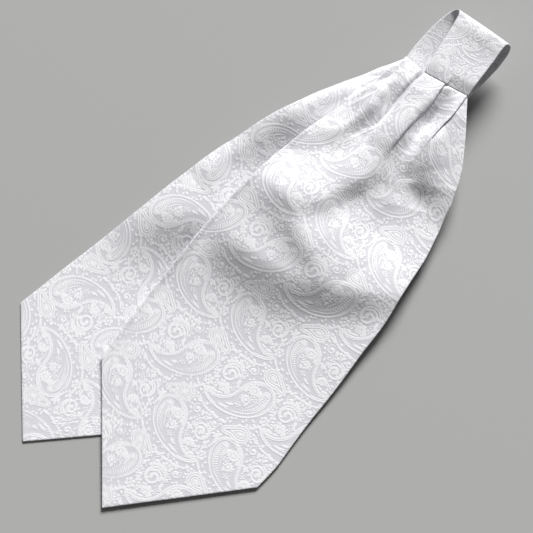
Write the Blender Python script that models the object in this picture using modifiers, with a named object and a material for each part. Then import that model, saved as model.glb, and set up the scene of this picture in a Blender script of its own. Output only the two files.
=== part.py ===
"""Silk cravat folded in half: two pleated blades with pointed ends and a neckband that joins them in a loop.

All sizes are millimetres until a mesh is made, which is in metres. The layout has +Y from the points to
the neckband, +X across the blades and +Z up, with the surface that the cravat lies on at z = 0. Each blade
is a sheet described by its flat cloth: u runs across the cloth from its left edge, and a table says how
much cloth each of the four pleats takes up at each distance along the blade.
"""

import math

import bpy
import numpy as np

MM = 0.001
COLLECTION = "silk_cravat"

# Cloth walls and the spacing of cloth folded on itself
BLADE_WALL = 1.1
BAND_WALL = 1.4
LAYER = 1.45

# Flat cloth: the usual width of a blade, and its width at distances from the seam
BLADE_WIDTH = 131.0
WIDTH_COLUMNS = ("from_seam", "width")
CLOTH_WIDTHS = (
    (0.0, 125.0),
    (108.0, 125.0),
    (170.0, 130.6),
    (215.0, 132.4),
    (262.0, 132.2),
    (284.0, 129.8),
)

# Where the four pressed fold lines run, from the left edge of the cloth, and which way each fold faces
FOLD_LINES = (14.1, 43.0, 59.5, 88.6)
FOLD_FACES_LEFT = (True, True, False, False)

# Mesh steps: rows along a blade, columns between two pleats, and the widest spacing of a bend's own columns
ROWS = 30
PANEL_STEPS = 2
WIDEST_BEND = 3.0

# Upper blade. Each station gives the x of its left edge, the cloth that each pleat takes up, the height of
# the cloth's middle surface at the left edge, middle and right edge, and the share of a layer that a fold
# lifts it.
UPPER_SEAM_Y = 168.0
UPPER_END = dict(left_y=-112.4, right_y=-118.2, tip_u=61.2, tip_y=-188.0)
BLADE_COLUMNS = ("y", "left", "take1", "take2", "take3", "take4", "z_left", "z_mid", "z_right", "layer")
UPPER_STATIONS = (
    (168.0, -15.5, 14.1, 13.0, 13.0, 36.4, 14.0, 14.2, 14.2, 1.00),
    (152.0, -14.7, 13.6, 13.0, 13.0, 26.6, 13.8, 14.6, 14.2, 1.00),
    (138.0, -19.1, 10.0, 13.0, 13.0, 16.7, 13.4, 14.0, 13.4, 0.95),
    (125.0, -23.2, 6.0, 13.0, 13.0, 8.9, 12.6, 13.0, 12.6, 0.85),
    (112.0, -27.2, 2.0, 13.0, 13.0, 3.8, 12.0, 11.8, 11.6, 0.60),
    (100.0, -30.5, 0.0, 11.7, 12.0, 1.0, 11.6, 10.4, 10.2, 0.35),
    (82.0, -34.8, 0.0, 7.5, 8.5, 0.0, 11.2, 7.4, 8.0, 0.10),
    (60.0, -39.3, 0.0, 3.0, 4.1, 0.0, 10.8, 5.8, 7.0, 0.00),
    (35.0, -42.3, 0.0, 1.2, 1.5, 0.0, 10.4, 5.2, 6.2, 0.00),
    (10.0, -45.2, 0.0, 0.0, 0.0, 0.0, 10.2, 5.0, 5.8, 0.00),
    (-15.0, -46.4, 0.0, 0.0, 0.0, 0.0, 9.0, 4.8, 4.8, 0.00),
    (-60.0, -46.3, 0.0, 0.0, 0.0, 0.0, 3.8, 3.0, 2.6, 0.00),
    (-116.0, -43.2, 0.0, 0.0, 0.0, 0.0, 2.3, 2.1, 1.4, 0.00),
    (-189.0, -41.0, 0.0, 0.0, 0.0, 0.0, 2.2, 1.6, 1.0, 0.00),
)

# Widths of cloth, along u, over which each pleat's take-up is spread: half the take-up is folded flat
SPREAD_COLUMNS = ("y", "spread1", "spread2", "spread3", "spread4", "bend")
UPPER_SPREADS = (
    (168.0, 7.05, 6.5, 6.5, 18.2, 2.3),
    (152.0, 6.9, 6.5, 6.5, 13.3, 2.3),
    (138.0, 7.0, 7.5, 6.5, 10.0, 2.6),
    (125.0, 9.0, 10.0, 7.0, 11.0, 3.2),
    (112.0, 12.0, 15.0, 10.0, 14.0, 5.0),
    (100.0, 12.0, 20.0, 16.0, 16.0, 7.0),
    (82.0, 12.0, 24.0, 24.0, 16.0, 8.0),
    (-400.0, 12.0, 24.0, 24.0, 16.0, 8.0),
)

# Soft folds, in layout coordinates: each is a line of points, with its height there (a trough is below 0)
# and how far it reaches to the left and to the right of the line's direction
FOLD_COLUMNS = ("x", "y", "height", "left_reach", "right_reach")
UPPER_FOLDS = (
    # front slope of the bulges, where the blade comes down to the flat cloth
    ((-64.0, -6.0, 0.0, 60.0, 18.0), (-46.0, -4.0, 1.0, 80.0, 20.0), (-36.0, -1.0, 5.2, 100.0, 20.0),
     (-20.0, 0.0, 9.0, 115.0, 20.0), (0.0, 1.0, 9.8, 105.0, 21.0), (20.0, 5.0, 10.2, 80.0, 21.0),
     (40.0, 13.5, 9.4, 70.0, 18.5), (60.0, 22.0, 7.4, 62.0, 15.0), (72.0, 29.0, 5.2, 55.0, 14.0),
     (84.0, 38.0, 2.4, 50.0, 12.0), (98.0, 46.0, 0.0, 40.0, 12.0)),
    # left flank of the large bulge
    ((-48.0, 42.0, 0.0, 60.0, 12.0), (-30.0, 42.0, 4.2, 80.0, 15.0), (-12.0, 39.5, 7.0, 95.0, 16.0),
     (2.0, 33.5, 7.2, 90.0, 15.0), (16.0, 25.0, 5.8, 80.0, 13.0), (30.0, 18.0, 2.6, 60.0, 11.0),
     (46.0, 14.0, 0.0, 40.0, 11.0)),
    # ridge that runs on from the centre pleat, steep on its right
    ((14.0, 142.0, 0.0, 5.0, 10.0), (14.0, 118.0, 1.2, 6.0, 14.0), (14.5, 102.0, 2.4, 7.0, 18.0),
     (12.0, 89.0, 4.6, 7.5, 22.0), (9.5, 77.0, 5.0, 8.0, 24.0), (5.5, 65.0, 5.0, 8.5, 24.0),
     (1.0, 54.0, 3.8, 9.0, 24.0), (-4.5, 43.0, 1.8, 9.0, 22.0), (-12.0, 32.0, 0.0, 8.0, 20.0)),
    # hollow below the right pleat
    ((20.0, 166.0, 0.0, 3.5, 4.0), (22.5, 154.0, -1.6, 6.0, 4.5), (24.0, 140.0, -3.6, 6.5, 5.0),
     (28.5, 129.0, -4.8, 7.0, 6.5), (34.0, 119.0, -5.6, 8.0, 7.5), (40.0, 108.0, -5.4, 9.0, 8.5),
     (48.0, 97.0, -2.4, 10.0, 9.0), (58.0, 88.0, 0.0, 10.0, 10.0)),
    # bulge right of the hollow, steep towards it
    ((31.0, 168.0, 0.0, 3.0, 9.0), (32.5, 156.0, 1.2, 4.0, 8.0), (34.0, 142.0, 2.0, 7.0, 8.0),
     (35.5, 128.0, 3.6, 12.0, 8.5), (39.5, 114.0, 6.0, 15.0, 9.5), (48.0, 104.5, 4.8, 15.0, 9.0),
     (59.0, 100.0, 1.6, 13.0, 8.0), (70.0, 97.0, 0.0, 13.0, 8.0)),
    # ridge left of the centre pleat
    ((-11.0, 156.0, 0.0, 4.5, 14.0), (-12.5, 145.0, 2.0, 4.8, 18.0), (-13.5, 134.0, 5.6, 5.0, 22.0),
     (-13.5, 120.0, 7.0, 5.2, 26.0), (-14.5, 108.0, 6.8, 5.6, 26.0), (-20.5, 95.0, 6.2, 6.2, 24.0),
     (-27.5, 83.0, 3.4, 7.0, 20.0), (-35.0, 66.0, 0.0, 9.0, 16.0)),
)

# Lower blade, in its own frame: y is 0 at its seam and negative along the blade, which is then turned
# about the middle of its seam, to swing out to the left of the upper blade
LOWER_SEAM = (6.8, 172.6)
LOWER_TURN = math.radians(13.5)
LOWER_SEAM_REACH = 60.0
LOWER_END = dict(left_y=-308.0, right_y=-278.0, tip_u=73.4, tip_y=-361.0)
LOWER_STATIONS = (
    (0.0, -24.6, 14.1, 13.0, 13.0, 36.4, 1.2, 1.2, 1.2, 1.00),
    (-12.0, -27.2, 11.8, 13.0, 13.0, 30.5, 1.2, 1.4, 1.4, 1.00),
    (-21.0, -29.4, 9.4, 13.0, 13.0, 26.0, 1.4, 1.6, 1.5, 0.95),
    (-33.0, -31.5, 5.9, 13.0, 13.0, 18.5, 2.2, 1.9, 1.7, 0.88),
    (-47.0, -34.2, 3.4, 13.0, 13.0, 11.0, 2.8, 2.4, 2.0, 0.70),
    (-64.0, -37.0, 0.6, 12.5, 12.5, 5.0, 3.2, 3.0, 2.2, 0.50),
    (-88.0, -40.0, 0.0, 8.0, 9.0, 1.0, 3.2, 3.4, 2.2, 0.20),
    (-106.0, -43.2, 0.0, 5.0, 5.5, 0.0, 2.6, 3.2, 2.0, 0.05),
    (-126.0, -45.4, 0.0, 2.5, 2.5, 0.0, 2.2, 2.6, 1.6, 0.00),
    (-146.0, -46.8, 0.0, 1.0, 1.0, 0.0, 1.6, 1.9, 1.2, 0.00),
    (-175.0, -46.8, 0.0, 0.0, 0.0, 0.0, 0.9, 1.0, 0.8, 0.00),
    (-200.0, -46.3, 0.0, 0.0, 0.0, 0.0, 0.55, 0.55, 0.55, 0.00),
    (-254.0, -45.5, 0.0, 0.0, 0.0, 0.0, 0.55, 0.55, 0.55, 0.00),
    (-308.0, -43.0, 0.0, 0.0, 0.0, 0.0, 0.55, 0.55, 0.55, 0.00),
    (-362.0, -41.0, 0.0, 0.0, 0.0, 0.0, 0.55, 0.55, 0.55, 0.00),
)
LOWER_SPREADS = (
    (0.0, 7.05, 6.5, 6.5, 18.2, 2.3),
    (-16.0, 6.9, 6.5, 6.5, 15.0, 2.3),
    (-30.0, 7.5, 7.5, 7.5, 12.0, 2.6),
    (-47.0, 9.0, 10.0, 10.0, 12.0, 3.2),
    (-64.0, 12.0, 16.0, 16.0, 14.0, 5.0),
    (-88.0, 12.0, 22.0, 22.0, 16.0, 7.0),
    (-400.0, 12.0, 24.0, 24.0, 16.0, 8.0),
)
LOWER_FOLDS = (
    # front slope of the blade's bulge, which goes on under the upper blade
    ((-112.0, -36.0, 0.0, 60.0, 22.0), (-92.0, -25.0, 4.4, 70.0, 25.0), (-78.0, -14.0, 8.8, 80.0, 28.0),
     (-64.0, -5.0, 10.6, 80.0, 28.0), (-52.0, 2.0, 9.4, 80.0, 25.0), (-38.0, 5.0, 7.0, 80.0, 24.0),
     (-14.0, 8.0, 3.4, 60.0, 24.0), (12.0, 10.0, 1.6, 60.0, 24.0), (46.0, 12.0, 0.0, 60.0, 22.0)),
    # second slope, nearer the neck
    ((-82.0, 66.0, 0.0, 60.0, 28.0), (-66.0, 80.0, 9.0, 110.0, 30.0), (-52.0, 89.0, 10.6, 120.0, 27.0),
     (-42.0, 98.0, 8.0, 110.0, 24.0), (-30.0, 108.0, 3.0, 80.0, 18.0), (-14.0, 116.0, 0.0, 60.0, 18.0)),
    # the blade slopes down under the upper blade's edge
    ((-33.0, 116.0, 0.0, 10.0, 9.0), (-37.5, 100.0, 0.7, 10.0, 10.0), (-43.0, 84.0, 1.0, 10.0, 10.0),
     (-48.0, 66.0, 1.2, 10.0, 10.0), (-50.0, 46.0, 1.0, 12.0, 10.0), (-52.0, 26.0, 0.8, 14.0, 9.0),
     (-53.5, 4.0, 0.0, 16.0, 8.0)),
)

# Neckband: its middle line goes up from the upper seam, over the top of the loop and back under to the
# lower seam. left and right are the x of its two edges.
BAND_COLUMNS = ("y", "z", "left", "right")
BAND_STATIONS = (
    (168.8, 19.6, 0.6, 33.1),
    (176.6, 20.3, -0.6, 32.9),
    (187.5, 21.3, -2.3, 32.5),
    (198.3, 22.5, -4.0, 32.1),
    (207.0, 23.4, -5.4, 31.6),
    (211.0, 23.5, -6.4, 31.7),
    (213.2, 21.8, -8.0, 32.6),
    (213.8, 19.2, -10.2, 33.8),
    (212.4, 16.4, -12.6, 34.6),
    (208.0, 14.0, -14.8, 35.0),
    (201.8, 12.0, -16.4, 35.0),
    (194.0, 10.4, -17.6, 34.4),
    (185.0, 9.0, -18.2, 33.4),
    (177.0, 7.6, -18.3, 32.5),
    (173.6, 6.7, -18.3, 31.8),
)
BAND_ROWS = 34
BAND_ACROSS = 4

# The origin is under the middle of the whole outline
ORIGIN = (-9.6, 13.2)

SILK = dict(colour=(0.83, 0.83, 0.86, 1.0), roughness=0.45, metallic=0.0)


def clear_scene():
    for thing in list(bpy.data.objects):
        bpy.data.objects.remove(thing, do_unlink=True)


def column(rows, names, name):
    """One named column of a table, as an array."""
    return np.array([row[names.index(name)] for row in rows])


def smooth_table(at, positions, values):
    """Read a table between its rows along a smooth curve that never overshoots a row."""
    order = np.argsort(positions)
    knots = np.asarray(positions, float)[order]
    heights = np.asarray(values, float)[order]
    step = np.diff(knots)
    slope = np.diff(heights) / step
    tangent = np.zeros_like(heights)
    tangent[0] = slope[0]
    tangent[-1] = slope[-1]
    before, after = slope[:-1], slope[1:]
    same_way = before * after > 0
    weight_before = step[1:] + 2 * step[:-1]
    weight_after = 2 * step[1:] + step[:-1]
    weighted = np.where(same_way, weight_after * after + weight_before * before, 1.0)
    harmonic_mean = (weight_before + weight_after) * before * after / weighted
    tangent[1:-1] = np.where(same_way, harmonic_mean, 0.0)
    at = np.clip(at, knots[0], knots[-1])
    i = np.clip(np.searchsorted(knots, at) - 1, 0, len(step) - 1)
    t = (at - knots[i]) / step[i]
    rest = 1 - t
    from_left = heights[i] * (1 + 2 * t) * rest ** 2 + step[i] * tangent[i] * t * rest ** 2
    from_right = heights[i + 1] * (3 - 2 * t) * t ** 2 - step[i] * tangent[i + 1] * rest * t ** 2
    return from_left + from_right


def ease(t):
    """A smooth step from 0 to 1."""
    t = np.clip(t, 0.0, 1.0)
    return t * t * (3 - 2 * t)


def ramp_area(t):
    """Integral of a ramp that rises from 0 to 1 between -0.5 and 0.5."""
    inside = np.clip(t + 0.5, 0.0, 1.0)
    return 0.5 * inside * inside + np.maximum(t - 0.5, 0.0)


def fold_height(x, y, folds):
    """Sum of the soft ridges and troughs of a table, at points of the layout."""
    total = np.zeros_like(x)
    for line in folds:
        line_x, line_y = column(line, FOLD_COLUMNS, "x"), column(line, FOLD_COLUMNS, "y")
        span = np.array([line_x[-1] - line_x[0], line_y[-1] - line_y[0]])
        along_x, along_y = span / np.hypot(*span)
        line_along = (line_x - line_x[0]) * along_x + (line_y - line_y[0]) * along_y
        line_side = (line_x - line_x[0]) * along_y - (line_y - line_y[0]) * along_x
        along = (x - line_x[0]) * along_x + (y - line_y[0]) * along_y
        side = (x - line_x[0]) * along_y - (y - line_y[0]) * along_x
        bow = smooth_table(along, line_along, line_side)
        lean = smooth_table(along + 1, line_along, line_side) - bow
        distance = (side - bow) / np.hypot(1, lean)
        left = smooth_table(along, line_along, column(line, FOLD_COLUMNS, "left_reach"))
        right = smooth_table(along, line_along, column(line, FOLD_COLUMNS, "right_reach"))
        height = smooth_table(along, line_along, column(line, FOLD_COLUMNS, "height"))
        total += height * np.exp(-(distance / np.where(distance > 0, right, left)) ** 2)
    return total


def blade_surface(u, y, stations, spreads):
    """Place points of the flat cloth (u across, y along) in the pleated, resting blade."""
    def station(name):
        return smooth_table(y, column(stations, BLADE_COLUMNS, "y"), column(stations, BLADE_COLUMNS, name))

    def spread(name):
        return smooth_table(y, column(spreads, SPREAD_COLUMNS, "y"), column(spreads, SPREAD_COLUMNS, name))

    bend = spread("bend")
    layer = station("layer") * LAYER
    x = station("left") + u
    lift = np.zeros_like(u)
    for number, (line, faces_left) in enumerate(zip(FOLD_LINES, FOLD_FACES_LEFT), start=1):
        width = spread(f"spread{number}")
        first = line - width if faces_left else line
        last = first + width
        taken = ramp_area((u - first) / bend) - ramp_area((u - last) / bend)
        x -= station(f"take{number}") / width * bend * taken
        climb = ease((u - first) / bend + 0.5) + ease((u - last) / bend + 0.5)
        lift += layer * (climb if faces_left else -climb)
    across = u / BLADE_WIDTH
    left_share = (1 - across) * (1 - 2 * across)
    middle_share = 4 * across * (1 - across)
    right_share = across * (2 * across - 1)
    base = station("z_left") * left_share + station("z_mid") * middle_share + station("z_right") * right_share
    return x, base + lift


def cloth_width(from_seam):
    """The cloth's width at a distance from the seam: narrower at the neck end, fullest before the point."""
    from_seams = column(CLOTH_WIDTHS, WIDTH_COLUMNS, "from_seam")
    return smooth_table(from_seam, from_seams, column(CLOTH_WIDTHS, WIDTH_COLUMNS, "width"))


def cloth_columns(y, width, spreads):
    """Positions across the cloth of the mesh's columns, closer together at each pleat's two bends."""
    def spread(name):
        return smooth_table(y, column(spreads, SPREAD_COLUMNS, "y"), column(spreads, SPREAD_COLUMNS, name))

    half_bend = 0.5 * np.minimum(spread("bend"), WIDEST_BEND)
    knots = []
    for number, (line, faces_left) in enumerate(zip(FOLD_LINES, FOLD_FACES_LEFT), start=1):
        pleat = spread(f"spread{number}")
        knots += [line - pleat, line + 0 * y] if faces_left else [line + 0 * y, line + pleat]
    columns = [0 * y]
    for knot in knots:
        start, stop = columns[-1], knot - half_bend
        columns += [start + (stop - start) * k / PANEL_STEPS for k in range(1, PANEL_STEPS)]
        columns += [knot - half_bend, knot, knot + half_bend]
    start = columns[-1]
    last_steps = 2 * PANEL_STEPS
    columns += [start + (width - start) * k / last_steps for k in range(1, last_steps + 1)]
    return np.stack(columns, axis=-1)


def blade_grid(seam_y, end, spreads):
    """Flat positions of a blade's points, from its seam to its pointed end, with a column through the tip."""
    t = np.linspace(0.0, 1.0, ROWS + 1)[:, None]
    corner_y = 0.5 * (end["left_y"] + end["right_y"])
    straight_y = seam_y + (corner_y - seam_y) * t
    width = cloth_width(seam_y - straight_y)
    u = cloth_columns(straight_y[:, 0], width[:, 0], spreads)
    nearest = np.argmin(np.abs(u[-1] - end["tip_u"]))
    u[:, nearest] += (end["tip_u"] - u[-1, nearest]) * t[:, 0] ** 3
    left_edge = end["left_y"] + (end["tip_y"] - end["left_y"]) * u / end["tip_u"]
    right_edge = end["right_y"] + (end["tip_y"] - end["right_y"]) * (width - u) / (width - end["tip_u"])
    end_y = np.where(u < end["tip_u"], left_edge, right_edge)
    return u, straight_y + (end_y - corner_y) * t ** 3


def mesh_from_grid(name, points, wall):
    """A sheet through a grid of points, given its thickness evenly on both sides."""
    count_along, count_across = points.shape[:2]
    index = np.arange(count_along * count_across).reshape(count_along, count_across)
    corners = np.stack([index[:-1, :-1], index[:-1, 1:], index[1:, 1:], index[1:, :-1]], axis=-1)
    mesh = bpy.data.meshes.new(name)
    mesh.from_pydata((points.reshape(-1, 3) * MM).tolist(), [], corners.reshape(-1, 4).tolist())
    mesh.validate()
    sheet = bpy.data.objects.new(name, mesh)
    thickness = sheet.modifiers.new("wall", "SOLIDIFY")
    thickness.thickness = wall * MM
    thickness.offset = 0.0
    return sheet


def to_origin(points):
    return points - np.array([ORIGIN[0], ORIGIN[1], 0.0])


def make_upper_blade():
    u, y = blade_grid(UPPER_SEAM_Y, UPPER_END, UPPER_SPREADS)
    x, z = blade_surface(u, y, UPPER_STATIONS, UPPER_SPREADS)
    z = z + fold_height(x, y, UPPER_FOLDS)
    return mesh_from_grid("upper_blade", to_origin(np.stack([x, y, z], axis=-1)), BLADE_WALL)


def make_lower_blade():
    """The lower blade is laid out along its own axis, then turned about the middle of its seam.

    Its cloth is pushed along near the seam, so that the seam stays square to the neckband.
    """
    u, y = blade_grid(0.0, LOWER_END, LOWER_SPREADS)
    x, z = blade_surface(u, y, LOWER_STATIONS, LOWER_SPREADS)
    y = y + ease(1 + y / LOWER_SEAM_REACH) * x * math.tan(LOWER_TURN)
    sine, cosine = math.sin(LOWER_TURN), math.cos(LOWER_TURN)
    row_x = LOWER_SEAM[0] + x * cosine + y * sine
    row_y = LOWER_SEAM[1] - x * sine + y * cosine
    z = z + fold_height(row_x, row_y, LOWER_FOLDS)
    return mesh_from_grid("lower_blade", to_origin(np.stack([row_x, row_y, z], axis=-1)), BLADE_WALL)


def make_neckband():
    y, z = column(BAND_STATIONS, BAND_COLUMNS, "y"), column(BAND_STATIONS, BAND_COLUMNS, "z")
    left, right = column(BAND_STATIONS, BAND_COLUMNS, "left"), column(BAND_STATIONS, BAND_COLUMNS, "right")
    length = np.concatenate([[0.0], np.cumsum(np.hypot(np.diff(y), np.diff(z)))])
    at = np.linspace(0.0, length[-1], BAND_ROWS + 1)
    y, z, left, right = (smooth_table(at, length, values)[:, None] for values in (y, z, left, right))
    across = np.linspace(0.0, 1.0, BAND_ACROSS + 1)[None, :]
    x = left + (right - left) * across
    return mesh_from_grid("neckband", to_origin(np.stack([x, y + 0 * x, z + 0 * x], axis=-1)), BAND_WALL)


def silk_material():
    material = bpy.data.materials.new("white_silk")
    material.use_nodes = True
    shader = material.node_tree.nodes["Principled BSDF"]
    shader.inputs["Base Color"].default_value = SILK["colour"]
    shader.inputs["Roughness"].default_value = SILK["roughness"]
    shader.inputs["Metallic"].default_value = SILK["metallic"]
    return material


def main():
    clear_scene()
    collection = bpy.data.collections.new(COLLECTION)
    bpy.context.scene.collection.children.link(collection)
    for make in (make_upper_blade, make_lower_blade, make_neckband):
        piece = make()
        material = silk_material()
        material.name = f"{piece.name}_silk"
        piece.data.materials.append(material)
        piece.data.shade_smooth()
        collection.objects.link(piece)


main()
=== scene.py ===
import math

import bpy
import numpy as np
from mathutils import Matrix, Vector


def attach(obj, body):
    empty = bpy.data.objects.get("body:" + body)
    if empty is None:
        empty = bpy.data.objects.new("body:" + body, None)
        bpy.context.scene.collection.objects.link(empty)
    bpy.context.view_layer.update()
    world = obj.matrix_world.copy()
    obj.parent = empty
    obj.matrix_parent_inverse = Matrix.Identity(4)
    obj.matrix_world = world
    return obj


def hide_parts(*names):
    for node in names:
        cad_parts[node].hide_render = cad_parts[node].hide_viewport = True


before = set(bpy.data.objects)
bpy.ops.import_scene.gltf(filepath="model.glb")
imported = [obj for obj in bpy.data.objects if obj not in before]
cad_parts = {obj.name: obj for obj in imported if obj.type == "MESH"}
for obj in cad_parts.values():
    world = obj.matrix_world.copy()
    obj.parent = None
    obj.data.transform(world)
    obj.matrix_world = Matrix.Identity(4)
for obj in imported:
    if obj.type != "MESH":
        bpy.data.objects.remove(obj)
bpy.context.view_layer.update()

# Silk cravat folded in half: two pleated blades of white paisley jacquard and the neckband that joins them.
# Sizes are millimetres until a mesh is made. The layout has +Y from the points to the neckband, +X towards
# the upper blade's free side and the table at z = 0.

MM = 0.001

# The frame's origin in the layout
ORIGIN = (-9.6, 13.2)

# Lengths below these count as nothing
SHORTEST_VECTOR = 1e-9
SHORTEST_SIDE = 1e-6

# Cloth: its thicknesses, how far its edges round over, the spacing of cloth folded on itself, and how far
# the pleats' own layers hold the blade up
BLADE_CLOTH = 0.7
BAND_CLOTH = 0.9
EDGE_ROUND = 0.9
LAYER = 0.85
PLEATS_LIFTED = 2.1

# A blade's flat cloth: its usual width, and its width at distances from the seam
BLADE_WIDTH = 131.0
WIDTH_COLUMNS = ("from_seam", "width")
CLOTH_WIDTHS = (
    (0.0, 125.0),
    (108.0, 125.0),
    (170.0, 130.6),
    (215.0, 132.4),
    (262.0, 132.2),
    (284.0, 129.8),
)
# Its four pleats: their fold lines, from the left edge, and whether the cloth that each takes up lies to
# its left
FOLD_LINES = (14.1, 43.0, 59.5, 88.6)
FOLD_FACES_LEFT = (True, True, False, False)

# Mesh of a blade's face: its cells along and across, how near a fold line its columns crowd together, the
# power by which its rows bend to the point, and the samples that a spacing is worked out on
BLADE_CELL = 0.78
BLADE_COLUMN_CELL = 0.655
PLEAT_EDGE = 1.7
POINT_POWER = 2.0
FINE_COLUMNS = 4001
# Its back: how many of the face's cells one of its cells covers, and its even tone, with no figure
BACK_STEP = 6
BACK_TONE = 0.5
# The rows that round an edge, by distance from it, and the slope of the pointed end's edges, in degrees
EDGE_STEPS = (0.0, 0.10, 0.32, 0.68)
POINT_EDGE_SLOPE = 48.0

# Upper blade: its seam, which is shifted from a straight line along x, and how far from it the shift dies
# away
UPPER_SEAM_Y = 168.0
SLANT_COLUMNS = ("x", "shift")
SEAM_SLANT = (
    (-20.0, -2.6),
    (-15.0, -2.8),
    (-6.0, -3.9),
    (2.0, -4.5),
    (12.0, -3.3),
    (34.0, 0.0),
)
SLANT_FADE = 45.0
# Its pointed end: where its two sides end, and its tip, across the flat cloth and along the blade
UPPER_END = dict(left_y=-112.4, right_y=-118.2, tip_u=61.2, tip_y=-188.0)
# Stations along a blade: its left edge, the cloth that each pleat takes up, the heights of its left edge,
# middle and right edge, and how much of the pleats' thickness is left
BLADE_COLUMNS = ("y", "left", "take1", "take2", "take3", "take4", "z_left", "z_mid", "z_right", "layer")
UPPER_STATIONS = (
    (168.0, -15.5, 14.1, 13.0, 13.0, 36.4, 19.0, 16.7, 16.4, 0.55),
    (160.0, -15.1, 13.9, 13.0, 13.0, 31.5, 18.7, 15.9, 15.4, 0.80),
    (152.0, -14.7, 13.6, 13.0, 13.0, 26.6, 17.9, 15.0, 14.6, 1.00),
    (138.0, -19.1, 10.0, 13.0, 13.0, 16.7, 15.4, 13.7, 13.2, 1.00),
    (125.0, -23.2, 6.0, 13.0, 13.0, 8.9, 12.9, 12.2, 12.2, 1.00),
    (112.0, -27.2, 2.0, 13.0, 13.0, 3.8, 10.5, 10.4, 10.6, 0.92),
    (100.0, -30.5, 0.0, 11.7, 12.0, 1.0, 9.6, 8.4, 8.9, 0.65),
    (82.0, -34.8, 0.0, 7.5, 8.5, 0.0, 9.6, 6.0, 6.7, 0.30),
    (60.0, -39.3, 0.0, 3.0, 4.1, 0.0, 9.8, 5.0, 6.6, 0.08),
    (35.0, -42.3, 0.0, 1.2, 1.5, 0.0, 10.0, 5.8, 7.4, 0.00),
    (10.0, -45.2, 0.0, 0.0, 0.0, 0.0, 10.0, 5.0, 6.6, 0.00),
    (-15.0, -46.4, 0.0, 0.0, 0.0, 0.0, 8.8, 4.8, 4.8, 0.00),
    (-60.0, -46.3, 0.0, 0.0, 0.0, 0.0, 3.8, 2.8, 2.2, 0.00),
    (-116.0, -43.2, 0.0, 0.0, 0.0, 0.0, 2.9, 2.1, 1.4, 0.00),
    (-189.0, -41.0, 0.0, 0.0, 0.0, 0.0, 2.2, 1.6, 1.0, 0.00),
)
# How wide across the flat cloth each pleat takes its cloth from, and how softly its folds turn over
SPREAD_COLUMNS = ("y", "spread1", "spread2", "spread3", "spread4", "bend")
UPPER_SPREADS = (
    (168.0, 7.05, 6.5, 6.5, 18.2, 1.6),
    (152.0, 6.9, 6.5, 6.5, 13.3, 1.6),
    (138.0, 7.0, 7.5, 6.5, 10.0, 2.0),
    (125.0, 9.0, 10.0, 7.0, 11.0, 3.2),
    (112.0, 12.0, 15.0, 10.0, 14.0, 5.0),
    (100.0, 12.0, 20.0, 16.0, 16.0, 7.0),
    (82.0, 12.0, 24.0, 24.0, 16.0, 8.0),
    (-400.0, 12.0, 24.0, 24.0, 16.0, 8.0),
)

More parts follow.
